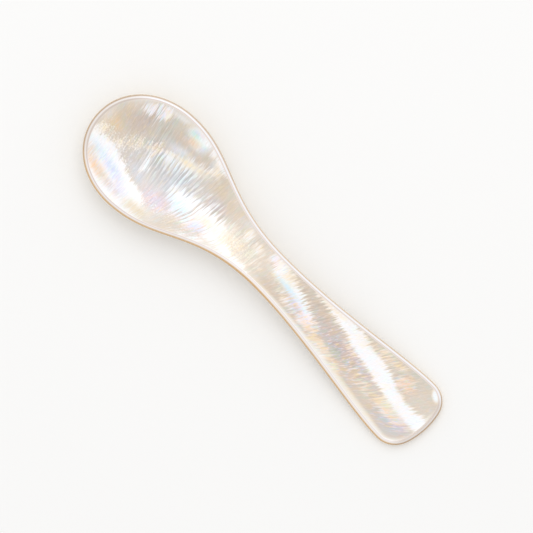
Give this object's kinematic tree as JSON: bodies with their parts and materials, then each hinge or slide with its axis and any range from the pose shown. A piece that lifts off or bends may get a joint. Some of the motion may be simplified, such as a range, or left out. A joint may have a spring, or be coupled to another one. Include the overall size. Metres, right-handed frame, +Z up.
{
  "type": "serving spoon",
  "caption": "Small serving spoon of pearl shell with a round shallow bowl, a waisted neck, a paddle-ended handle and a rolled polished rim.",
  "frame": {"origin": "centre of the spoon's box on the surface it lies on, with the middle of the bowl's widest place on Y = 0", "axes": "+X from the bowl's tip to the handle's end, +Z up out of the bowl, +Y to the left of +X seen from above"},
  "size_m": [0.1201, 0.0324, 0.0076],
  "materials": {
    "nacre": "polished",
    "honey_shell": "polished"
  },
  "bodies": {
    "root": {"nacre_layer": "nacre", "honey_shell_layer": "honey_shell"}
  },
  "joints": []
}
